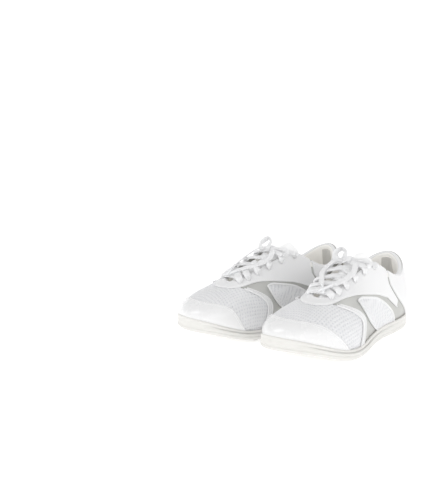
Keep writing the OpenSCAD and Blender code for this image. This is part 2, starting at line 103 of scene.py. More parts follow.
def bezier(t, a, b, c, d):
    return (1 - t) ** 3 * a + 3 * t * (1 - t) ** 2 * b + 3 * t ** 2 * (1 - t) * c + t ** 3 * d


def skin(q, t):
    """The upper's outer face: q goes round from the toe, t up from the sole to the edge."""
    q, t = np.broadcast_arrays(np.asarray(q, float), np.asarray(t, float))
    r, n, t = rib(q), outward(q), t[..., None]
    up = np.array([0, 0, 1.0])
    foot = np.stack([r[..., 0], r[..., 1], r[..., 9] + FLOOR], -1)
    edge = r[..., 2:5]
    low = foot + n * r[..., 5:6] + up * r[..., 6:7]
    high = edge + n * r[..., 7:8] - up * r[..., 8:9]
    return bezier(t, foot, low, high, edge)


def normal(q, t):
    return unit(np.cross(skin(q + EPS, t) - skin(q - EPS, t), skin(q, t + EPS) - skin(q, t - EPS)))


def off_skin(q, t, d):
    q, t, d = np.broadcast_arrays(*(np.asarray(a, float) for a in (q, t, d)))
    return skin(q, t) + d[..., None] * normal(q, t)


def smooth(f):
    c = np.clip(f, 0, 1)
    return c * c * (3 - 2 * c)


def mix(a, b, f):
    return a * (1 - f) + b * f


def place_on(points, side):
    """Shoe-local millimetres to the frame's metres."""
    p = np.asarray(points, float)
    x0, y0, turn = STANDS[side]
    c, s = math.cos(turn), math.sin(turn)
    x = p[..., 0] * c - p[..., 1] * s
    y = p[..., 0] * s + p[..., 1] * c
    flip = 1 if side == "left" else -1
    return np.stack([flip * x + x0 + CENTRE[0], y + y0 + CENTRE[1], p[..., 2]], -1) / 1000


# ---- Meshes ----
def add_piece(name, points, faces, side, body, slot, material, replaces=(), uv=None):
    """One object from shoe-local points in millimetres; its faces are turned to look outwards."""
    mesh = bpy.data.meshes.new(f"{side}_{name}")
    mesh.from_pydata(place_on(points, side).tolist(), [], faces)
    if uv is not None:
        loops = np.empty(len(mesh.loops), dtype=np.int64)
        mesh.loops.foreach_get("vertex_index", loops)
        mesh.uv_layers.new(name="millimetres").data.foreach_set("uv", np.asarray(uv)[loops].ravel())
    mesh.validate()
    shape = bmesh.new()
    shape.from_mesh(mesh)
    bmesh.ops.recalc_face_normals(shape, faces=shape.faces)
    shape.to_mesh(mesh)
    shape.free()
    mesh.shade_smooth()
    mesh.materials.append(material)
    piece = bpy.data.objects.new(f"{side}_{name}", mesh)
    bpy.context.scene.collection.objects.link(piece)
    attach(piece, f"{side}_{body}")
    if replaces:
        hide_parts(*[f"{side}_{node}" for node in replaces])
    return piece


def grid_faces(nu, nv, start=0, under=False):
    w = nv + 1
    a = (np.arange(nu)[:, None] * w + np.arange(nv)[None, :]).ravel() + start
    quads = np.stack([a, a + 1, a + w + 1, a + w] if under else [a, a + w, a + w + 1, a + 1], -1)
    return [tuple(q) for q in quads.tolist()]


def tube_faces(rings, sides, capped=True):
    """Faces round a stack of rings, with a cap on each end."""
    faces = [(k * sides + j, k * sides + (j + 1) % sides, (k + 1) * sides + (j + 1) % sides, (k + 1) * sides + j)
             for k in range(rings - 1) for j in range(sides)]
    ends = [tuple(range(sides - 1, -1, -1)), tuple(range((rings - 1) * sides, rings * sides))]
    return faces + ends if capped else faces


def sheet(top, under):
    """Closed sheet between two grids of points."""
    nu, nv = top.shape[0] - 1, top.shape[1] - 1
    w, count = nv + 1, (nu + 1) * (nv + 1)
    rim = ([(i * w, (i + 1) * w) for i in range(nu)] + [(nu * w + j, nu * w + j + 1) for j in range(nv)]
           + [(i * w + nv, (i - 1) * w + nv) for i in range(nu, 0, -1)] + [(j, j - 1) for j in range(nv, 0, -1)])
    faces = grid_faces(nu, nv) + grid_faces(nu, nv, count, under=True)
    faces += [(a, a + count, b + count, b) for a, b in rim]
    return np.concatenate([top.reshape(-1, 3), under.reshape(-1, 3)]), faces


TAPER_RUN = 5.0


def run_lengths(points, axis):
    step = np.linalg.norm(np.diff(points, axis=axis), axis=-1)
    zero = np.zeros_like(np.take(step, [0], axis=axis))
    return np.concatenate([zero, np.cumsum(step, axis=axis)], axis=axis)


def steps(length, pitch, radius):
    """Stations along an edge-to-edge run, close together where the rim is rounded."""
    near = np.array([0, 0.06, 0.25, 0.55, 1.0]) * radius
    inner = np.linspace(radius, length - radius, max(2, int(length / pitch)))[1:-1]
    return np.concatenate([near, inner, (length - near)[::-1]]) / length


class Patch:
    """A stretch of the skin: place(u, v) gives q and t for u and v from 0 to 1.
    rims names the borders that are rounded off: start, end, foot and top."""

    def __init__(self, place, pitch=1.6, radius=0.7, rims="seft"):
        coarse = np.linspace(0, 1, 41)
        probe = skin(*place(*np.meshgrid(coarse, coarse, indexing="ij")))
        long_u = run_lengths(probe, 0)[-1].max()
        long_v = run_lengths(probe, 1)[:, -1].max()
        self.u, self.v = np.meshgrid(steps(long_u, pitch, radius), steps(long_v, pitch, radius), indexing="ij")
        self.q, self.t = place(self.u, self.v)
        base = skin(self.q, self.t)
        self.along_u, self.along_v = run_lengths(base, 0), run_lengths(base, 1)
        distance = {"s": self.along_u, "e": self.along_u[-1] - self.along_u,
                    "f": self.along_v, "t": self.along_v[:, -1:] - self.along_v}
        self.rim = np.minimum.reduce([distance[side] for side in rims])
        bulge = 1 - np.clip(self.rim / radius, 0, 1)
        self.rounding = 0.2 + 0.8 * np.sqrt(np.clip(1 - bulge ** 2, 0, 1))

    def uv(self):
        mid = self.along_u[:, self.along_u.shape[1] // 2][:, None] + 0 * self.along_v
        flat = np.stack([mid, self.along_v], -1).reshape(-1, 2)
        return np.concatenate([flat, flat])

    def solid(self, low, high, relief=0):
        top = off_skin(self.q, self.t, low + (high - low + relief) * self.rounding)
        return sheet(top, off_skin(self.q, self.t, low + 0 * self.q))


def at_lengths(values, length, at):
    """Rows of values interpolated at the given places along a run."""
    return np.stack([np.interp(at, length, column) for column in values.T], -1)


def curve_points(points, count):
    """Smooth run through given points, evenly spaced by its own length."""
    p = np.asarray(points, float)
    ends = np.concatenate([[2 * p[0] - p[1]], p, [2 * p[-1] - p[-2]]])
    s = np.linspace(0, len(p) - 1, 40 * len(p))
    k = np.minimum(s.astype(int), len(p) - 2)
    f = (s - k)[:, None]
    a, b, c, d = (ends[k + i] for i in range(4))
    fine = 0.5 * (2 * b + (c - a) * f + (2 * a - 5 * b + 4 * c - d) * f ** 2 + (3 * b - a - 3 * c + d) * f ** 3)
    length = run_lengths(fine, 0)
    return at_lengths(fine, length, np.linspace(0, length[-1], count))


def ribbon(points, ups, width, thick, spacing=1.0, taper=(1, 1), around=14):
    """Flat lace with soft edges, swept along points with its face turned towards ups.
    Its ends narrow to the two tapers; returns points, faces, uv and the middle line."""
    route = np.concatenate([np.asarray(points, float), np.asarray(ups, float)], -1)
    length = run_lengths(curve_points(points, 200), 0)[-1]
    count = max(8, int(length / spacing))
    run = curve_points(route, count)
    line = run[:, :3]
    along = unit(np.gradient(line, axis=0))
    across = unit(np.cross(along, run[:, 3:6]))
    up = np.cross(across, along)
    s = np.linspace(0, 1, count)
    scale = (mix(taper[0], 1, smooth(s * length / TAPER_RUN))
             * mix(taper[1], 1, smooth((1 - s) * length / TAPER_RUN)))
    angle = 2 * math.pi * np.arange(around) / around
    c, d = np.cos(angle), np.sin(angle)
    # A squashed superellipse: flat faces, round edges
    x = np.sign(c) * np.abs(c) ** 0.7
    y = np.sign(d) * np.abs(d) ** 0.8
    ring = (across[:, None] * (width / 2 * scale)[:, None, None] * x[None, :, None]
            + up[:, None] * (thick / 2 / np.sqrt(scale))[:, None, None] * y[None, :, None])
    verts = (line[:, None] + ring).reshape(-1, 3)
    uv = np.stack(np.broadcast_arrays(s[:, None] * length, (x * width / 2)[None, :]), -1).reshape(-1, 2)
    return verts, tube_faces(count, around), uv, line


def joined(parts):
    """Several (points, faces, uv) as one."""
    points, faces, uvs, start = [], [], [], 0
    for part in parts:
        p, f, uv = part[:3]
        points.append(p)
        uvs.append(uv)
        faces += [tuple(i + start for i in face) for face in f]
        start += len(p)
    return np.concatenate(points), faces, np.concatenate(uvs)


# ---- Materials ----
class Shader:
    def __init__(self, name, color, rough, **settings):
        self.material = bpy.data.materials.new(name)
        self.material.use_nodes = True
        self.nodes, self.links = self.material.node_tree.nodes, self.material.node_tree.links
        self.main = self.nodes["Principled BSDF"]
        self.main.inputs["Base Color"].default_value = (*color, 1)
        self.main.inputs["Roughness"].default_value = rough
        for key, value in settings.items():
            self.main.inputs[key.replace("_", " ")].default_value = value
        self.color = color
        self.height = None

    def node(self, kind, inputs=(), **settings):
        made = self.nodes.new(kind)
        for key, value in settings.items():
            setattr(made, key, value)
        for key, value in dict(inputs).items():
            if isinstance(value, bpy.types.NodeSocket):
                self.links.new(value, made.inputs[key])
            else:
                made.inputs[key].default_value = value
        return made

    def place(self, kind="Object"):
        return self.node("ShaderNodeTexCoord").outputs[kind]

    def math(self, operation, a, b=0.0):
        return self.node("ShaderNodeMath", {0: a, 1: b}, operation=operation).outputs[0]

    def wave(self, value, pitch, operation="SINE"):
        return self.math(operation, self.math("MULTIPLY", value, 2 * math.pi / pitch))

    def cloth_axes(self):
        """Along and across the cloth, in millimetres laid out by UV."""
        split = self.node("ShaderNodeSeparateXYZ", {"Vector": self.place("UV")})
        return split.outputs["X"], split.outputs["Y"]

    def noise(self, where, scale, detail=3.0, rough=0.5):
        return self.node("ShaderNodeTexNoise", {"Vector": where, "Scale": scale, "Detail": detail,
                                                "Roughness": rough}).outputs["Fac"]

    def ramp(self, value, low, high, to_low, to_high):
        return self.node("ShaderNodeMapRange", {"Value": value, "From Min": low, "From Max": high,
                                                "To Min": to_low, "To Max": to_high}).outputs["Result"]

    def tint(self, amount, other):
        """Blend the base colour towards another by a value between 0 and 1."""
        made = self.node("ShaderNodeMix", data_type="RGBA")
        self.links.new(amount, made.inputs[0])
        made.inputs[6].default_value = (*self.color, 1)
        made.inputs[7].default_value = (*other, 1)
        self.links.new(made.outputs[2], self.main.inputs["Base Color"])

    def roughness(self, value):
        self.links.new(value, self.main.inputs["Roughness"])

    def bump(self, height, distance, strength=1.0):
        """Add a layer of relief, its distance in metres."""
        inputs = {"Height": height, "Distance": distance, "Strength": strength}
        if self.height is not None:
            inputs["Normal"] = self.height
        self.height = self.node("ShaderNodeBump", inputs).outputs["Normal"]
        self.links.new(self.height, self.main.inputs["Normal"])


def leather(name, color, rough, shade, grain=0.00008, **settings):
    """Synthetic leather: fine pebbles, shallow creases and patches of shade."""
    s = Shader(name, color, rough, **settings)
    where = s.place()
    pebble = s.node("ShaderNodeTexVoronoi", {"Vector": where, "Scale": 1100.0}, feature="SMOOTH_F1")
    creases = s.noise(where, 160.0, 4.0, 0.6)
    s.bump(pebble.outputs["Distance"], grain, 0.55)
    s.bump(creases, 0.00025, 0.35)
    broad = s.noise(where, 24.0, 3.0)
    s.tint(s.ramp(broad, 0.35, 0.75, 0.0, 0.5), shade)
    s.roughness(s.ramp(s.noise(where, 70.0, 4.0), 0.3, 0.7, rough - 0.07, rough + 0.09))
    return s.material


def knitted(name, color, shade, pitch, depth, painted_glow=0.0):
    """Woven cloth: two sets of threads a pitch apart, with painted shade in the hollows between them and an even
    painted glow in its own colour.
    """
    s = Shader(name, color, 0.85, Sheen_Weight=0.25, Sheen_Roughness=0.5,
               Emission_Color=(*color, 1), Emission_Strength=painted_glow)
    x, y = s.cloth_axes()
    weave = s.math("MULTIPLY", s.wave(x, pitch), s.wave(y, pitch))
    s.bump(weave, depth, 0.8)
    s.bump(s.noise(s.place(), 900.0, 2.0), 0.0001, 0.4)
    # Painted shade: the hollows of the weave are tinted towards the shade colour.
    s.tint(s.ramp(weave, -1.0, 1.0, 0.6, 0.0), shade)
    return s.material


def mesh_cloth():
    """Air mesh: the holes are real relief, tinted darker as painted shade, and the threads between them are a fine
    knit.
    """
    s = Shader("air_mesh", (0.87, 0.873, 0.885), 0.8, Sheen_Weight=0.2, Sheen_Roughness=0.5)
    x, y = s.cloth_axes()
    holes = s.math("ADD", s.wave(x, MESH_PITCH, "COSINE"), s.wave(y, MESH_PITCH, "COSINE"))
    painted_hole_shade = s.ramp(holes, 0.55, 1.35, 0.0, 1.0)
    knit = s.math("MULTIPLY", s.wave(x, KNIT_PITCH), s.wave(y, KNIT_PITCH))
    s.bump(knit, 0.00012, 0.6)
    # Painted shade: the holes are tinted darker and bluer than the threads.
    s.tint(s.math("MULTIPLY", painted_hole_shade, 0.75), (0.74, 0.745, 0.77))
    return s.material


def rubber():
    """Matt moulded rubber with a faint dusty shade."""
    s = Shader("sole_rubber", (0.775, 0.765, 0.738), 0.52, Specular_IOR_Level=0.4)
    where = s.place()
    s.bump(s.noise(where, 1400.0, 2.0), 0.00006, 0.5)
    s.bump(s.noise(where, 90.0, 3.0), 0.0003, 0.15)
    s.tint(s.ramp(s.noise(where, 30.0, 4.0), 0.4, 0.8, 0.0, 0.6), (0.74, 0.73, 0.695))
    s.roughness(s.ramp(s.noise(where, 60.0, 3.0), 0.3, 0.7, 0.46, 0.6))
    return s.material


def lace_cloth():
    """Flat braid: herringbone ribs running out from the middle line, with painted shade in their grooves and a
    faint painted glow.
    """
    # The faint white emission is a painted glow that lifts the lace out of its shade.
    s = Shader("lace_braid", (0.94, 0.94, 0.945), 0.78, Sheen_Weight=0.3, Sheen_Roughness=0.4,
               Emission_Color=(1, 1, 1, 1), Emission_Strength=0.09)
    x, y = s.cloth_axes()
    slope = s.math("MULTIPLY", s.math("ABSOLUTE", y), 1.2)
    herringbone = s.wave(s.math("ADD", x, slope), 0.9)
    cross = s.wave(y, 0.8)
    weave = s.math("ADD", herringbone, s.math("MULTIPLY", cross, 0.5))
    s.bump(weave, 0.00016, 0.8)
    # Painted shade: the braid's grooves are tinted darker.
    s.tint(s.ramp(weave, -1.5, 1.5, 0.4, 0.0), (0.85, 0.855, 0.875))
    return s.material


def plain(name, color, rough, shade, scale, relief):
    """Foam, board and moulded parts: one grain for colour and relief."""
    s = Shader(name, color, rough)
    where = s.place()
    grain = s.noise(where, scale, 4.0, 0.6)
    s.bump(grain, relief, 0.6)
    s.tint(s.ramp(grain, 0.35, 0.7, 0.0, 0.8), shade)
    return s.material


MESH_PITCH, KNIT_PITCH = 4.0, 0.55
WHITE = leather("white_synthetic", (0.84, 0.84, 0.842), 0.42, (0.80, 0.803, 0.81),
                Coat_Weight=0.12, Coat_Roughness=0.3)
# The tongue's faint emission is a painted glow that lifts it out of the shade under the laces.
TONGUE_WHITE = leather("tongue_synthetic", (0.9, 0.9, 0.9), 0.5, (0.86, 0.863, 0.87),
                       Emission_Color=(1, 1, 1, 1), Emission_Strength=0.12)
PATENT = leather("toe_cap_synthetic", (0.84, 0.84, 0.842), 0.24, (0.815, 0.817, 0.82), 0.00003,
                 Coat_Weight=0.35, Coat_Roughness=0.12)
SILVER = leather("silver_synthetic", (0.54, 0.54, 0.52), 0.36, (0.47, 0.47, 0.455), Metallic=0.45)
MESH = mesh_cloth()
RUBBER = rubber()
LACE = lace_cloth()
# The last argument of the lining and the heel tape is a painted glow that lifts the shaded inside of the shoe.
LINING = knitted("collar_lining_cloth", (0.93, 0.915, 0.88), (0.85, 0.835, 0.80), 0.8, 0.00012, 0.13)
TAPE = knitted("heel_tape_cloth", (0.66, 0.65, 0.62), (0.55, 0.54, 0.51), 1.1, 0.00018, 0.13)
LINER_CLOTH = knitted("sock_liner_cloth", (0.78, 0.775, 0.76), (0.69, 0.685, 0.67), 1.0, 0.00012)
FOAM = plain("open_foam", (0.84, 0.82, 0.76), 0.95, (0.74, 0.72, 0.65), 1500.0, 0.0003)
STIFFENER = plain("moulded_stiffener", (0.78, 0.77, 0.73), 0.6, (0.70, 0.69, 0.65), 500.0, 0.00008)
BOARD = plain("fibre_board", (0.66, 0.58, 0.46), 0.85, (0.56, 0.48, 0.37), 700.0, 0.0001)
THREAD = plain("stitching_thread", (0.93, 0.93, 0.93), 0.7, (0.84, 0.84, 0.85), 2500.0, 0.00004)
FILM = Shader("aglet_film", (0.88, 0.89, 0.90), 0.16, Coat_Weight=0.5, Coat_Roughness=0.1)
FILM.bump(FILM.noise(FILM.place(), 500.0, 2.0), 0.00008, 0.5)
FILM = FILM.material
EYELET_PAINTED_SHADE = plain("eyelet_shade", (0.20, 0.20, 0.21), 0.9, (0.14, 0.14, 0.15), 1200.0, 0.00005)


# ---- Layers of the upper ----
# Thicknesses in millimetres. FACE, the depths and SEAT are distances out of or into the skin
TREAD, LINER, FABRIC, OVERLAY, PADDING = 1.5, 3.4, 1.3, 1.0, 5.0
GAP = 0.3
SEAT = GAP - 0.25
STIFF_DEPTH = FABRIC + GAP
STIFF = 1.3
LINING_DEPTH = STIFF_DEPTH + STIFF + GAP
LINING_T = 0.8
FACE = GAP + OVERLAY
EYELET_T = 0.94
EYELETS = 6
EYELET_RADIUS = 2.15
# The rib where the padded collar starts, and how much of the topline's height its crown takes
COLLAR_Q = 6.3
CROWN = 0.955
COLLAR_STATIONS = 300
CUP_FLOOR = 4.6
BOARD_TOP = 10.6


def eyelet_q(flank, i):
    return flank * mix(1.6, 5.85, i / (EYELETS - 1))


def vamp_end(t):
    return np.maximum(1.6, bow_line(t) + 0.13)


def bow_line(t):
    return 3.95 - 7.5 * np.maximum(0, t - 0.25) ** 2.2


def window_front(t):
    return 6.15 - 5.2 * t + 2.6 * t ** 2


def window_back(t):
    return 7.2 - 6.8 * t ** 2.4


def facing_foot(q):
    return 0.86 - 0.39 * smooth((np.abs(q) - 2.4) / 5.2)


def heel_line(t):
    return np.maximum(6.9, 8.75 - 3.2 * t + 1.05 * t ** 2)


def saddle_front(t):
    return 6.6 + 3.8 * np.maximum(0, 0.505 - t)


def saddle_back(t):
    return heel_line(t) - 0.12 - 0.4 * smooth((0.5 - t) / 0.2)


def collar_gather(q):
    """0 at the front ends of the collar, 1 where its padding is full."""
    return smooth((np.minimum(q, ROUND - q) - COLLAR_Q) / 0.7)


def padding(q, t):
    full = PADDING * np.sqrt(np.maximum(0.04, np.sin(np.pi * np.minimum(1, np.maximum(0, t - 0.5) / 0.56))))
    return full * mix(0.25, 1, collar_gather(q))


def lining_depth(q, t):
    return np.where(t > 0.5, np.maximum(LINING_DEPTH, STIFF_DEPTH + GAP + padding(q, t)), LINING_DEPTH)


def flank_place(flank, front, back, t0, t1):
    """Stretch of one side between two lines; flank is 1 outside and -1 inside."""
    def place(u, v):
        t = mix(t0, t1, v)
        return flank * mix(front(t), back(t), u if flank > 0 else 1 - u), t
    return place


def flattened(patch, place, count=(64, 24), rounds=700):
    """Lay a patch out flat with little stretch: springs pull a grid to its lengths on the skin."""
    u, v = np.meshgrid(np.linspace(0, 1, count[0]), np.linspace(0, 1, count[1]), indexing="ij")
    q, t = place(u, v)
    solid = skin(q, t)
    arc = run_lengths(solid, 1)
    flat = skin(q, 1)[..., :2] + outward(q)[..., :2] * (arc[:, -1:] - arc)[..., None]
    pairs = []
    for du, dv in ((1, 0), (0, 1), (1, 1), (1, -1)):
        a = (slice(0, count[0] - du), slice(max(0, -dv), count[1] - max(0, dv)))
        b = (slice(du, count[0]), slice(max(0, dv), count[1] + min(0, dv)))
        pairs.append((a, b, np.linalg.norm(solid[b] - solid[a], axis=-1)))
    for _ in range(rounds):
        push = np.zeros_like(flat)
        for a, b, rest in pairs:
            d = flat[b] - flat[a]
            pull = (0.11 * (1 - rest / np.maximum(np.linalg.norm(d, axis=-1), 1e-6)))[..., None] * d
            push[a] += pull
            push[b] -= pull
        flat += push
    x, y = patch.u * (count[0] - 1), patch.v * (count[1] - 1)
    i, j = np.minimum(x.astype(int), count[0] - 2), np.minimum(y.astype(int), count[1] - 2)
    f, g = (x - i)[..., None], (y - j)[..., None]
    return (flat[i, j] * (1 - f) * (1 - g) + flat[i + 1, j] * f * (1 - g)
            + flat[i, j + 1] * (1 - f) * g + flat[i + 1, j + 1] * f * g)


def mesh_relief(flat, rim, depth=0.55):
    """Holes of the air mesh, dying out at the rim of the cloth."""
    holes = np.cos(2 * np.pi * flat[..., 0] / MESH_PITCH) + np.cos(2 * np.pi * flat[..., 1] / MESH_PITCH)
    return -depth * smooth((holes - 0.3) / 1.1) * smooth((rim - 1.0) / 1.5)


def doubled(flat):
    flat = flat.reshape(-1, 2)
    return np.concatenate([flat, flat])


# ---- Small sewn and moulded details ----
STITCH_PITCH, STITCH_RADIUS, STITCH_START = 2.7, 0.34, 1.5


def stitches(line, normals):
    """Run of short stitches lying along a line of points."""
    length = run_lengths(line, 0)
    at = np.arange(STITCH_START, length[-1] - STITCH_START, STITCH_PITCH)
    spot, up = at_lengths(line, length, at), unit(at_lengths(normals, length, at))
    along = unit(at_lengths(line, length, at + 0.5) - at_lengths(line, length, at - 0.5))
    across = unit(np.cross(up, along))
    sides = 8
    # Half length, radius and sink of each ring of one stitch
    rings = np.array([[-1.0, 0.3, -0.25], [-0.85, 0.75, -0.1], [-0.45, 1, 0.05], [0.45, 1, 0.05],
                      [0.85, 0.75, -0.1], [1.0, 0.3, -0.25]])
    angle = 2 * np.pi * np.arange(sides) / sides
    x = rings[:, 0] * STITCH_PITCH * 0.42
    wide = STITCH_RADIUS * rings[:, 1][:, None] * np.cos(angle)
    high = STITCH_RADIUS * (rings[:, 1][:, None] * np.sin(angle) * 0.8 + rings[:, 2][:, None])
    verts = (spot[:, None, None] + along[:, None, None] * x[None, :, None, None]
             + across[:, None, None] * wide[None, :, :, None] + up[:, None, None] * high[None, :, :, None])
    each = len(rings) * sides
    faces = [tuple(i + n * each for i in face) for n in range(len(at)) for face in tube_faces(len(rings), sides)]
    verts = verts.reshape(-1, 3)
    return verts, faces, np.zeros((len(verts), 2))


TRIM_WIDTH = 0.26


def piping(q, t, height, width, thick):
    """Soft cord sewn along a line on the skin."""
    q, t = np.broadcast_arrays(np.asarray(q, float), np.asarray(t, float))
    pick = np.linspace(0, len(q) - 1, 40).astype(int)
    return ribbon(off_skin(q, t, height)[pick], normal(q, t)[pick], width, thick, spacing=1.2, around=12)


def border_seam(place, border, inset=2.0):
    """Stitches an inset in millimetres inside a patch's border: 'foot', 'top', 'start' or 'end'."""
    s = np.linspace(0, 1, 160)
    u, v = {"foot": (s, 0 * s), "top": (s, 0 * s + 1), "start": (0 * s, s), "end": (0 * s + 1, s)}[border]
    q, t = place(u, v)
    # A second line a little further in gives the way inside
    q2, t2 = place(np.clip(u, 0.05, 0.95), v) if border in ("start", "end") else place(u, np.clip(v, 0.05, 0.95))
    f = np.minimum(inset / np.maximum(np.linalg.norm(skin(q2, t2) - skin(q, t), axis=-1), 1e-6), 6.0)
    q, t = q + (q2 - q) * f, t + (t2 - t) * f
    return stitches(off_skin(q, t, FACE), normal(q, t))


def disc(flank, i):
    """Dark disc of painted shade filling an eyelet, sagging a little in the middle."""
    q, sag, radius = eyelet_q(flank, i), 0.35, EYELET_RADIUS
    centre, n = off_skin(q, EYELET_T, FACE - 1.1), normal(q, EYELET_T)
    along = unit(skin(q + EPS, EYELET_T) - skin(q - EPS, EYELET_T))
    across = np.cross(n, along)
    rings, sides = 5, 24
    angle = 2 * np.pi * np.arange(sides) / sides
    spokes = np.cos(angle)[:, None] * along + np.sin(angle)[:, None] * across
    points = [centre - n * sag]
    for k in range(1, rings + 1):
        r = radius * k / rings
        points += list(centre + spokes * r - n * sag * (1 - (k / rings) ** 2))
    points += list(centre + spokes * radius - n * 0.5)
    points.append(centre - n * (sag + 0.5))
    faces = [(0, 1 + j, 1 + (j + 1) % sides) for j in range(sides)]
    for k in range(rings):
        a, b = 1 + k * sides, 1 + (k + 1) * sides
        faces += [(a + j, b + j, b + (j + 1) % sides, a + (j + 1) % sides) for j in range(sides)]
    last = 1 + rings * sides
    faces += [(last + (j + 1) % sides, last + j, len(points) - 1) for j in range(sides)]
    return np.array(points), faces, np.zeros((len(points), 2))


def both(name, solid, slot, material, *nodes, body="shoe"):
    """The same piece on the two shoes, from its points, faces and, if it has them, uv."""
    points, faces, *uv = solid
    return [add_piece(name, points, faces, side, body, slot, material, nodes, *uv) for side in SIDES]


def panel(name, place, low, high, slot, material, node, **settings):
    """A patch of the skin between two heights, on the two shoes."""
    patch = Patch(place, **settings)
    both(name, (*patch.solid(low, high), patch.uv()), slot, material, node)


# ---- Camera ----
camera = bpy.data.objects.new("camera", bpy.data.cameras.new("camera"))
bpy.context.scene.collection.objects.link(camera)
bpy.context.scene.camera = camera
camera.location = (0.5696, -0.7981, 0.2898)
camera.rotation_euler = Vector((-0.6511, 0.7343, -0.1922)).to_track_quat("-Z", "Y").to_euler()
camera.data.lens = 62.65
camera.data.sensor_width = 36.0

# ---- Laces: bow loops and free ends first ----
LACE_WIDTH, LACE_THICK, CROSSING_THICK = 7.8, 1.6, 3.2
LACE_LIFT = FACE + LACE_THICK / 2 + 0.5
BOW_WIDTH, BOW_THICK = 6.2, 1.7
KNOT = np.array([0, 11, 92.5])
# Points of the bow loops and the free ends from the knot, and which way the lace's face looks there
RAISED = [[7, 2, 1], [8, 5, 3.5], [9, 8, 7], [12, 9.5, 9], [17, 8, 8.5], [19, 3, 4.5], [16.5, -2.5, 1],
          [12, -4.5, -0.5], [8, -3, -1]]
RAISED_UP = [[0, -1, 0.6], [0, -1, 0.4], [0.3, -1, 0], [1, -0.5, 0], [1, 0, -0.2], [0.4, 1, -0.2],
             [0, 1, -0.4], [0, 1, -0.6], [0, 1, -0.6]]
FLAT = [[8, 1, 0.5], [13, 3, 1], [18, 4.5, 0.5], [23, 3, -1.5], [25.5, -1.5, -3.5], [21.5, -5, -3.5],
        [15, -5, -2], [8, -3, -1]]
FLAT_UP = [[0, 0, 1], [0, -0.3, 1], [0, -0.8, 0.8], [0.6, -0.8, 0.3], [1, -0.2, -0.2], [0.5, 0.6, -0.8],
           [0, 0.3, -1], [0, 0.2, -1]]
OUTER_TAIL = [[7, -5, 0], [13, -11, -1], [17, -20, -6.5], [17, -30, -10.5], [15, -40, -14],
              [12, -48, -15.8], [8, -56, -18]]
INNER_TAIL = [[7, -5, 0], [13, -11, -1], [17, -19, -6.2], [17, -29, -10.3], [13, -38, -13],
              [8, -47, -15], [2, -56, -18.5]]
# Distance along and radius of an aglet's rings
AGLET = [(-2.2, 0.5), (-2.1, 1.35), (-1.7, 1.62), (-1.2, 1.7), (-0.6, 1.62), (4, 1.55), (10, 1.48),
         (15.2, 1.42), (16, 1.3), (16.35, 0.95), (16.4, 0.4)]
FLANKS = {"outer": 1, "inner": -1}


def lathe(axis_start, axis, profile, sides=24):
    """Points and faces of a round body from rings of (distance along, radius), closed at both ends."""
    axis = axis / np.linalg.norm(axis)
    a = unit(np.cross(axis, [0.3, 0.2, 1.0]))
    b = np.cross(axis, a)
    angle = 2 * np.pi * np.arange(sides) / sides
    spokes = np.cos(angle)[:, None] * a + np.sin(angle)[:, None] * b
    points = np.concatenate([axis_start + axis * d + spokes * r for d, r in profile])
    return points, tube_faces(len(profile), sides)


for side in SIDES:
    for name, flank in FLANKS.items():
        turn = np.array([flank, 1, 1.0])
        # One loop of each bow stands up and the other lies flat, the same way round in the picture
        bend, ups = (RAISED, RAISED_UP) if (side == "left") == (flank < 0) else (FLAT, FLAT_UP)
        verts, faces, uv, line = ribbon(KNOT + np.array(bend) * turn, np.array(ups) * turn,
                                        BOW_WIDTH, BOW_THICK, taper=(0.85, 0.85))
        loop = add_piece(f"bow_loop_{name}", verts, faces, side, "shoe", "lace", LACE, ["bow_loops"], uv)
        route = np.array(OUTER_TAIL if flank > 0 else INNER_TAIL)
        run = KNOT + route * turn
        lean = flank * (0.2 + max(flank, 0) * route[:, 0] / 50)
        ups = np.stack([lean, -0.4 + 0 * lean, 0.9 + 0 * lean], -1)
        verts, faces, uv, line = ribbon(run, ups, BOW_WIDTH, BOW_THICK, taper=(0.85, 0.55))
        tail = add_piece(f"lace_tail_{name}", verts, faces, side, "shoe", "lace", LACE, ["lace_tails"], uv)
        tip = add_piece(f"aglet_{name}", *lathe(run[-1], run[-1] - run[-2], AGLET), side, "shoe", "aglet",
                        FILM, ["aglets"])


def middle(i, height):
    """Where the lace lies over the tongue between two eyelets."""
    p = skin(eyelet_q(1, i), 1)
    return np.array([0, p[1] + 2, p[2] + height])


def crossing(flank, i, height):
    """Out of one eyelet, over the edge of the facing and the tongue, and in under the next on the other side."""
    q, far = eyelet_q(flank, i), eyelet_q(-flank, i + 1)
    centre = (middle(i, height) + middle(i + 1, height)) / 2
    points = [off_skin(q, EYELET_T - 0.004, 0.2), off_skin(q, EYELET_T + 0.008, 2.8),
              off_skin(q, 0.98, LACE_LIFT + 2.2), mix(off_skin(q, 1, LACE_LIFT + 2.4), centre, 0.4), centre,
              off_skin(far, 1.0, -5.6), off_skin(far, 0.97, -6.1)]
    ups = [normal(q, EYELET_T), normal(q, EYELET_T), normal(q, 0.97), unit(normal(q, 0.97) + [0, -0.3, 0.8]),
           [0, -0.4, 1], normal(far, 0.99), normal(far, 0.95)]
    return ribbon(points, ups, LACE_WIDTH, CROSSING_THICK, taper=(0.5, 0.7), spacing=0.9)


def first_bar():
    """Straight across between the first two eyelets."""
    inner, outer = ([off_skin(q, EYELET_T - 0.004, 0.2), off_skin(q, EYELET_T + 0.015, 2.4),
                     off_skin(q, 0.985, LACE_LIFT + 1.0)] for q in (eyelet_q(-1, 0), eyelet_q(1, 0)))
    ups = [[x, -0.4, 1] for x in (-0.6, -0.5, -0.3, 0, 0.3, 0.5, 0.6)]
    return ribbon([*inner, middle(0, 2.6), *outer[::-1]], ups, LACE_WIDTH, CROSSING_THICK,
                  taper=(0.5, 0.5), spacing=0.9)


# The crossing from the inner eyelets lies on top
bars = [first_bar()] + [crossing(f, i, h) for i in range(EYELETS - 1) for f, h in ((1, 1.2), (-1, 3.4))]
both("lace_crossings_woven", joined(bars), "lace", LACE, "lace_crossings")


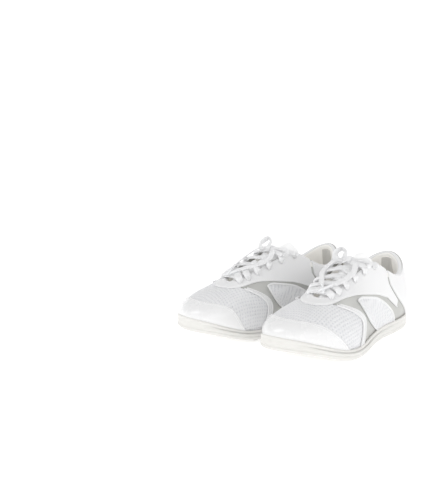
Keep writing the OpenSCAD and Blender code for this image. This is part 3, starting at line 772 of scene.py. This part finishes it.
def knot():
    """Two runs from the last eyelets into the knot, its core and the turn round it."""
    parts = []
    for f in (-1, 1):
        q = eyelet_q(f, EYELETS - 1)
        points = [off_skin(q, EYELET_T - 0.004, 0.2), off_skin(q, EYELET_T + 0.012, 2.3),
                  off_skin(q, 0.98, LACE_LIFT + 0.8), KNOT + [f * 10, -2, -2.6], KNOT + [f * 3, -0.5, -0.6]]
        ups = [normal(q, EYELET_T), normal(q, EYELET_T), [f * 0.3, -0.4, 1], [0, -0.5, 1], [0, -0.5, 1]]
        parts.append(ribbon(points, ups, LACE_WIDTH, 1.7, taper=(0.55, 0.9), spacing=0.9))
    core = KNOT + np.array([[-9.5, -0.8, -1], [-4, 0, 0.2], [4, 0, 0.2], [9.5, -0.8, -1]])
    parts.append(ribbon(core, [[0, -0.5, 1]] * 4, 7.0, 4.2, taper=(0.75, 0.75), spacing=0.9))
    turn = np.linspace(-0.6, 2 * np.pi - 0.2, 14)
    ring = KNOT + np.stack([1.2 * np.sin(turn / 2), 4.6 * np.cos(turn), 3.3 * np.sin(turn) + 0.2], -1)
    ups = np.stack([0 * turn, np.cos(turn), np.sin(turn)], -1)
    parts.append(ribbon(ring, ups, 6.2, 1.5, taper=(0.9, 0.9), spacing=0.7))
    return joined(parts)


both("lace_knot_tied", knot(), "lace", LACE, "lace_knot")


# ---- Sole ----
SOLE_STATIONS = 288
CHEVRON, GROOVE_PITCH = 12, 6.0


def foot_line(q, out, up):
    """Points beside the foot's outline, moved outwards and up from it."""
    r = rib(q)
    return np.stack([r[..., 0], r[..., 1], r[..., 9] + up], -1) + outward(q) * np.asarray(out)[..., None]


def wall_flare(q):
    """How far the upper leans out over its foot by the top of the sole's wall."""
    r = rib(q)
    span = r[..., 4] - r[..., 9] - FLOOR
    t = 0.1 + 0 * q
    # A few fixed-point rounds find where the skin passes the wall's height
    for _ in range(10):
        rest = 3 * t ** 2 * (1 - t) * (span - r[..., 8]) + t ** 3 * span
        t = np.clip((r[..., 10] - FLOOR - rest) / (3 * (1 - t) ** 2 * r[..., 6]), 0.01, 0.5)
    return ((skin(q, t) - r[..., :3])[..., :2] * outward(q)[..., :2]).sum(-1)


def outsole():
    """Cup sole: rings of (outwards, up) from the underside round the wall and down inside it."""
    q = np.arange(SOLE_STATIONS) * ROUND / SOLE_STATIONS
    top = rib(q)[:, 10]
    flare = wall_flare(q)
    lip = OVERLAY + 1.6 + flare
    rings = [(-3, 1.5), (0.5, 1.5), (2.6, 1.65), (3.9, 2.1), (4.7, 3.0), (5.05, 4.2), (5.15, 5.3), (5.1, 5.7),
             (4.75, 5.95), (4.75, 6.25), (5.05, 6.5), (mix(5.0, lip, 0.15), mix(6.6, top, 0.3)),
             (mix(4.8, lip, 0.4), mix(6.6, top, 0.55)), (mix(4.6, lip, 0.75) - 0.2, top - 3.6),
             (lip - 0.15, top - 3.0), (lip, top - 2.4), (lip + 0.1, top - 1.7), (lip, top - 0.9),
             (lip - 0.35, top - 0.3), (lip - 0.9, top - 0.02), (flare + 1.0, top), (flare + 0.2, top - 0.1),
             (0.2 + 0.8 * flare, top - 2.5), (0.2 + 0.4 * flare, mix(CUP_FLOOR, top, 0.45)),
             (0.2, CUP_FLOOR + 1), (0, CUP_FLOOR + 0.2), (-0.5, CUP_FLOOR)]
    points = [foot_line(q, out, up) for out, up in rings]
    m = SOLE_STATIONS
    faces = tube_faces(len(rings), m, capped=False)
    # The underside and the cup's floor are closed by strips from side to side
    last = (len(rings) - 1) * m
    for i in range(m // 2):
        a, b, c, d = i, i + 1, m - i - 1, (m - i) % m
        low = (a, d, c, b) if 0 < i < m // 2 - 1 else ((a, c, b) if i == 0 else (a, d, b))
        faces += [low, tuple(v + last for v in low[::-1])]
    return np.concatenate(points), faces


def across_foot(q, w, inset):
    """Points on straight lines from one side of the foot to the other."""
    left, right = foot_line(q, inset, 0), foot_line(-q, inset, 0)
    return left[:, None] * (1 - w)[None, :, None] + right[:, None] * w[None, :, None]


def tread_pads():
    """Rubber pads under the ball and heel, cut by chevron grooves."""
    parts = []
    for front, back in ((3.5, 4.9), (6.9, 9.6)):
        long = run_lengths(foot_line(np.linspace(front, back, 40), 0, 0), 0)[-1]
        rows, columns = int(long / 0.8), 90
        q = np.linspace(front, back, rows + 1)
        w = steps(1.0, 1 / columns, 0.012)
        base = across_foot(q, w, -2)
        wide = np.linalg.norm(base[:, 0] - base[:, -1], axis=-1)[:, None]
        rim = np.minimum(np.minimum(w, 1 - w)[None, :] * wide,
                         np.minimum(q - front, back - q)[:, None] * long / (back - front))
        zigzag = (base[..., 1] + 0.45 * np.abs(((base[..., 0] / CHEVRON) % 1) - 0.5) * 24) % GROOVE_PITCH
        groove = smooth(1.6 - np.abs(zigzag - 3.0) * 1.6) * smooth((rim - 0.6) / 0.8)
        under, top = base.copy(), base.copy()
        under[..., 2] = 1.1 * groove + 0.5 * smooth(1 - rim / 0.7)
        top[..., 2] = TREAD + 0.08
        parts.append((*sheet(top, under), np.zeros((2 * base.shape[0] * base.shape[1], 2))))
    return joined(parts)


def sock_liner():
    """Cupped footbed: its edge climbs the lining and the heel is dished."""
    q = np.linspace(0.03, HEEL - 0.03, 170)
    w = steps(1.0, 1 / 46, 0.02)
    low_inset, high_inset = -LINING_DEPTH - LINING_T - 1.6, -LINING_DEPTH - LINING_T - 0.5

    def surface(inset, up):
        made = across_foot(q, w, inset)
        made[..., 2] += up
        return made

    side_rise = np.abs(2 * w - 1)[None, :] ** 4
    heel = smooth((q - 6.5) / 2.5)[:, None]
    end_rise = smooth(1 - (HEEL - q) / 1.1)[:, None]
    arch = np.exp(-((q[:, None] - 6.0) / 1.3) ** 2) * smooth((w[None, :] - 0.45) / 0.5)
    rise = side_rise * (1.2 + 3.2 * heel) + 3.6 * end_rise ** 2 + 4.0 * arch + 0 * w
    high = surface(high_inset, BOARD_TOP + LINER - 0.3 + rise)
    low = surface(low_inset, BOARD_TOP + GAP + 0.25 * rise)
    points, faces = sheet(high, low)
    flat = np.stack([(w[None, :] - 0.5) * np.linalg.norm(high[:, :1] - high[:, -1:], axis=-1),
                     high[:, :1, 1] + 0 * w[None, :]], -1)
    return points, faces, doubled(flat)


both("outsole_moulded", outsole(), "rubber", RUBBER, "outsole")
both("tread_grooved", tread_pads(), "rubber", RUBBER, "tread_pads")
both("footbed", sock_liner(), "lining", LINER_CLOTH, "sock_liner")
for side in SIDES:
    for node, material in (("midsole", FOAM), ("shank", STIFFENER), ("insole_board", BOARD)):
        part = bpy.data.objects[f"{side}_{node}"]
        part.data.materials.clear()
        part.data.materials.append(material)

# ---- Upper ----
def vamp_place(u, v):
    return mix(-vamp_end(v), vamp_end(v), u), v


def air_mesh(place, low, high, count=(64, 24), rounds=700, depth=0.55, **settings):
    """A patch of air mesh, with its holes at an even pitch wherever it curves."""
    patch = Patch(place, **settings)
    flat = flattened(patch, place, count, rounds)
    return (*patch.solid(low, high, mesh_relief(flat, patch.rim, depth)), doubled(flat))


both("vamp_mesh", air_mesh(vamp_place, -FABRIC, 0, pitch=0.85, radius=0.5), "mesh", MESH, "vamp")
panel("vamp_lining_cloth", lambda u, v: (mix(-5.9, 5.9, u), mix(0.04, 0.99, v)), -LINING_DEPTH - LINING_T,
      -LINING_DEPTH, "lining", LINING, "vamp_lining", pitch=2.4)
for name, flank in FLANKS.items():
    place = flank_place(flank, lambda t: vamp_end(t) + 0.05, lambda t: HEEL - 0.02 + 0 * t, 0, 1)
    panel(f"{name}_quarter_panel", place, -FABRIC, 0, "silver", SILVER, f"{name}_quarter", pitch=2.0)


def toe_cap_place(u, v):
    """Its top edge falls away sooner on the outer side."""
    across = 2 * u - 1
    top = 0.05 + 0.47 * (1 - np.abs(across) ** np.where(across > 0, 2.2, 3.0))
    return 0.1 + 3.05 * across, mix(0.01, top, v)


panel("toe_cap_glossy", toe_cap_place, SEAT, FACE, "white_upper", PATENT, "toe_cap", pitch=1.8, radius=0.9)
for name, first, last, top in (("toe_puff", -2.2, 2.2, 0.34), ("heel_counter", 7.3, ROUND - 7.3, 0.5)):
    patch = Patch(lambda u, v: (mix(first, last, u), mix(0.02, top, v)), pitch=2.4)
    both(f"{name}_shell", patch.solid(-STIFF_DEPTH - STIFF, -STIFF_DEPTH), "stiffener", STIFFENER, name)

trims, trim_cords, windows, window_cords, saddles, threads = [], [], [], [], [], []
for flank in (1, -1):
    place = flank_place(flank, bow_line, lambda t: bow_line(t) + TRIM_WIDTH, 0.01, 0.8)
    patch = Patch(place, pitch=1.0, radius=0.8)
    trims.append((*patch.solid(SEAT, 0.9), patch.uv()))
    t = np.linspace(0.012, 0.805, 160)
    for shift in (0.0, TRIM_WIDTH - 0.01):
        trim_cords.append(piping(flank * (bow_line(t) + shift), t, 0.95, 2.1, 1.9))
    # Mesh window low on the side, its cloth and the piping round it
    windows.append(air_mesh(flank_place(flank, window_front, window_back, 0.01, 0.74), SEAT, FACE - 0.35,
                            (24, 24), 400, 0.5, pitch=0.8, radius=0.6))
    t = np.concatenate([np.linspace(0.012, 0.745, 70), np.linspace(0.735, 0.012, 70)])
    line = np.concatenate([window_front(t[:70]), window_back(t[70:])])
    window_cords.append(piping(flank * line, t, 0.95, 2.4, 2.0))
    place = flank_place(flank, saddle_front, saddle_back, 0.32, 0.995)
    patch = Patch(place, pitch=1.6, radius=0.9, rims="eft" if flank > 0 else "sft")
    saddles.append((*patch.solid(SEAT, FACE), patch.uv()))
    threads.append(border_seam(place, "end" if flank > 0 else "start"))

both("vamp_trim_bands", joined(trims), "white_upper", WHITE, "vamp_trims")
both("vamp_trim_piping", joined(trim_cords), "white_upper", WHITE)
both("window_mesh", joined(windows), "mesh", MESH, "windows")
both("window_piping", joined(window_cords), "white_upper", WHITE)
both("side_saddles", joined(saddles), "white_upper", WHITE, "saddles")


def eyestay_place(u, v):
    q = mix(-6.6, 6.6, u)
    return q, mix(facing_foot(q), 0.995, v)


patch = Patch(eyestay_place, pitch=0.75, radius=0.9, rims="ft")
base = skin(patch.q, patch.t)
# Each eyelet is punched in, and the synthetic swells a little round it
dents = 0 * patch.rim
for flank in (1, -1):
    for i in range(EYELETS):
        r = np.linalg.norm(base - skin(eyelet_q(flank, i), EYELET_T), axis=-1)
        dents = np.minimum(dents, -1.15 * smooth((2.75 - r) / 0.8)) + 0.3 * np.exp(-((r - 3.3) / 0.6) ** 2)
both("eyestay_punched", (*patch.solid(SEAT, FACE, dents), patch.uv()), "white_upper", WHITE, "eyestay")
# The dark discs are painted shade set inside the punched eyelets.
both("eyelet_shade_discs", joined([disc(f, i) for f in (1, -1) for i in range(EYELETS)]), "stiffener", EYELET_PAINTED_SHADE)


def heel_place(u, v):
    t = mix(0.01, 0.995, v)
    return mix(heel_line(t), ROUND - heel_line(t), u), t


panel("heel_panel", heel_place, SEAT, FACE, "white_upper", WHITE, "heel_overlay", pitch=1.8, radius=0.9)
threads += [border_seam(*seam) for seam in (
    (toe_cap_place, "top", 1.9), (toe_cap_place, "top", 4.1), (eyestay_place, "foot", 1.8),
    (eyestay_place, "top", 2.6), (heel_place, "start", 1.9), (heel_place, "end", 1.9), (heel_place, "top", 2.6))]
both("upper_stitching", joined(threads), "lace", THREAD)

# ---- Collar ----
def collar_roll(extra, angle):
    """Half-round over the padding at the topline, drawn extra inside it: angle 0 faces in and 1 out."""
    q = np.linspace(COLLAR_Q, ROUND - COLLAR_Q, COLLAR_STATIONS)[:, None]
    full = lining_depth(q, CROWN + 0 * q) + LINING_T
    n, centre = normal(q, CROWN + 0 * q), skin(q, CROWN + 0 * q)
    up = unit(skin(q, CROWN + 0.02 + 0 * q) - skin(q, CROWN - 0.02 + 0 * q))
    radius = (full + 0.15) / 2 - extra
    turn = np.pi * (1 - np.asarray(angle))[None, :]
    return (centre - n * (full / 2 - 0.075)[..., None] + n * (radius * np.cos(turn))[..., None]
            + up * (radius * 0.98 * np.sin(turn))[..., None])


def collar_lining():
    """Cloth from the footbed up over the padding and down the outside of the topline."""
    q = np.linspace(COLLAR_Q, ROUND - COLLAR_Q, COLLAR_STATIONS)[:, None]
    rise = np.linspace(0.04, CROWN, 34)[None, :]

    def face(extra):
        inside = skin(q, rise) - normal(q, rise) * (lining_depth(q, rise) + LINING_T - extra)[..., None]
        down = np.linspace(CROWN - 0.015, CROWN - 0.07, 4)[None, :]
        outside = skin(q, down) + normal(q, down) * (0.15 - extra)
        return np.concatenate([inside, collar_roll(extra, np.linspace(0, 1, 18)[1:]), outside], 1)

    outer, inner = face(0.0), face(LINING_T)
    along = run_lengths(outer, 0)[:, outer.shape[1] // 2][:, None]
    rise = run_lengths(outer, 1)
    return (*sheet(outer, inner), doubled(np.stack([along + 0 * rise, rise], -1)))


def topline_binding():
    """Synthetic folded over the padding, from inside the crown down to the outer panels."""
    angle = np.linspace(0.3, 1, 16)
    soft = 0.55 * np.sqrt(np.clip((angle - 0.3) / 0.06, 0, 1))
    rings = [collar_roll(-soft[k] - 0.05, angle[k:k + 1]) for k in range(16)]
    top = np.concatenate(rings, 1)
    flat = np.stack([run_lengths(top, 0), run_lengths(top, 1)], -1)
    return (*sheet(top, collar_roll(0.1, angle)), doubled(flat))


both("topline_binding", topline_binding(), "white_upper", WHITE)
both("collar_lining_padded", collar_lining(), "lining", LINING, "collar_lining")


patch = Patch(lambda u, v: (mix(COLLAR_Q + 0.05, ROUND - COLLAR_Q - 0.05, u), mix(0.54, 0.95, v)), pitch=2.2)
top = off_skin(patch.q, patch.t, -STIFF_DEPTH + 0 * patch.q)
under = off_skin(patch.q, patch.t, -STIFF_DEPTH - padding(patch.q, patch.t) * patch.rounding)
for piece in both("collar_padding", sheet(top, under), "foam", FOAM, "collar_foam"):
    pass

patch = Patch(lambda u, v: (mix(HEEL - 0.42, HEEL + 0.42, u), mix(0.14, 0.93, v)), pitch=0.9, radius=0.5)
depth = lining_depth(patch.q, patch.t) + LINING_T
ridges = 0.18 * np.cos(2 * np.pi * patch.along_u / 1.7)
top = off_skin(patch.q, patch.t, -depth - 0.1)
under = off_skin(patch.q, patch.t, -depth - 0.1 - (0.75 + ridges) * patch.rounding)
both("heel_tape_woven", (*sheet(top, under), patch.uv()), "tape", TAPE, "heel_tape")

# ---- Tongue ----
TONGUE = np.array([[0, -49, 52], [0, -16, 68], [0, 16, 82], [0, 44, 91.0]])
TONGUE_PAD = 4.0
# Where a sewn seam crosses the tongue, as a part of its length
SEAM_V = 0.72


def tongue_line(v):
    return bezier(np.asarray(v, float)[..., None], *TONGUE)


def tongue_half(v):
    return mix(11, 17, smooth(v * 1.1)) * np.sqrt(1 - 0.75 * np.maximum(0, (v - 0.8) / 0.2) ** 3)


def tongue_up(v):
    along = unit(tongue_line(v + EPS) - tongue_line(v - EPS))
    return np.stack([0 * along[..., 0], -along[..., 2], along[..., 1]], -1)


def tongue_point(u, v, d):
    x = tongue_half(v) * (2 * u - 1)
    side_step = np.stack([x, 0 * x, 0 * x], -1)
    return tongue_line(v) + side_step + tongue_up(v) * (d - 0.034 * x * x)[..., None]


def tongue_pad(u, v):
    return TONGUE_PAD * (0.3 + 0.7 * smooth(2.5 * v)) * (0.25 + 0.75 * np.sqrt(np.sin(np.pi * mix(0.03, 0.97, u))))


def tongue_sheet(high, low, from_v=0.0):
    u, v = np.meshgrid(steps(1.0, 1 / 26, 0.02), mix(from_v, 1, steps(1.0, 1 / 80, 0.008)), indexing="ij")
    top, under = tongue_point(u, v, high(u, v)), tongue_point(u, v, low(u, v))
    flat = np.stack([tongue_half(v) * (2 * u - 1), run_lengths(top, 1)], -1)
    return (*sheet(top, under), doubled(flat))


def tongue_crown(u, v):
    """The cover swells up between the facings, most at the throat and again at the free end above the knot."""
    edge = (1 - (2 * u - 1) ** 2) ** 0.75
    tip = smooth((v - 0.72) / 0.1) * smooth((1 - v) / 0.06)
    throat = smooth((v + 0.22) / 0.2) * (1 - smooth((v - 0.06) / 0.3))
    channel = 0.8 * np.exp(-((v - SEAM_V) / 0.012) ** 2)
    swell = 7.6 - 2.0 * smooth((v - 0.7) / 0.2) + 1.0 * tip + 2.6 * throat - channel
    return edge * swell * smooth((v + 0.3) / 0.2)


def tongue_seam(u, v):
    return stitches(tongue_point(u, v, tongue_crown(u, v) + 0.05), tongue_up(v))


both("tongue_cover_padded", tongue_sheet(tongue_crown, lambda u, v: -1 + 0 * u, -0.2), "white_upper", TONGUE_WHITE,
     "tongue_cover", body="tongue")
pad = tongue_sheet(lambda u, v: -1.15 + 0 * u, lambda u, v: -1.15 - tongue_pad(u, v), 0.05)
for piece in both("tongue_padding", pad, "foam", FOAM, "tongue_foam", body="tongue"):
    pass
cloth = tongue_sheet(lambda u, v: -1.3 - tongue_pad(u, v), lambda u, v: -2.1 - tongue_pad(u, v))
both("tongue_lining_cloth", cloth, "lining", LINING, "tongue_lining", body="tongue")
# Binding round the free edge, the seam inside it and the one that crosses the cover
v = np.concatenate([np.linspace(0.12, 1, 24), np.ones(9), np.linspace(1, 0.12, 24)])
u = np.concatenate([np.zeros(24), np.linspace(0.1, 0.9, 9), np.ones(24)])
edge = tongue_point(u, v, -1.7 + 0 * u)
ups = tongue_up(v) + np.stack([0.5 * (2 * u - 1), 0 * u, 0 * u], -1)
both("tongue_binding", ribbon(edge, ups, 3.0, 4.6, spacing=1.2)[:3], "white_upper", TONGUE_WHITE, body="tongue")
across = np.linspace(0.08, 0.92, 30)
seams = [tongue_seam(mix(0.14, 0.86, u), np.minimum(v, 0.965)), tongue_seam(across, SEAM_V + 0 * across)]
both("tongue_stitching", joined(seams), "lace", THREAD, body="tongue")

# ---- Light, floor and world ----
# A round floor that curves up into a low wall, so that it fills the view from every side
SWEEP = [(4.8, 0.0), (5.3, 0.06), (5.7, 0.25), (5.92, 0.55), (6.0, 0.95), (6.0, 2.2)]
FLOOR_SIDES = 96
turns = 2 * math.pi * np.arange(FLOOR_SIDES) / FLOOR_SIDES
floor_mesh = bpy.data.meshes.new("floor")
floor_mesh.from_pydata([(math.cos(a) * r, math.sin(a) * r, z) for r, z in SWEEP for a in turns], [],
                       [tuple(range(FLOOR_SIDES)), *tube_faces(len(SWEEP), FLOOR_SIDES, capped=False)])
floor_mesh.materials.append(Shader("studio_floor", (0.93, 0.93, 0.93), 0.9, Emission_Color=(1, 1, 1, 1),
                                   Emission_Strength=0.4).material)
floor = bpy.data.objects.new("floor", floor_mesh)
bpy.context.scene.collection.objects.link(floor)


def area_light(name, location, aim, power, size):
    lamp = bpy.data.lights.new(name, "AREA")
    lamp.energy, lamp.size = power, size
    light = bpy.data.objects.new(name, lamp)
    light.location = location
    light.rotation_euler = (Vector(aim) - Vector(location)).to_track_quat("-Z", "Y").to_euler()
    bpy.context.scene.collection.objects.link(light)


area_light("key", (-0.9, -1.1, 1.9), (0, 0, 0.04), 8, 0.9)
area_light("fill", (1.6, -0.9, 1.1), (0, 0, 0.04), 4, 1.4)
area_light("back", (0.3, 1.6, 1.4), (0, 0, 0.04), 4, 1.2)
world = bpy.data.worlds.new("studio")
bpy.context.scene.world = world
world.use_nodes = True
world.node_tree.nodes["Background"].inputs["Color"].default_value = (1, 1, 1, 1)
world.node_tree.nodes["Background"].inputs["Strength"].default_value = 0.66
bpy.context.scene.view_settings.view_transform = "Standard"
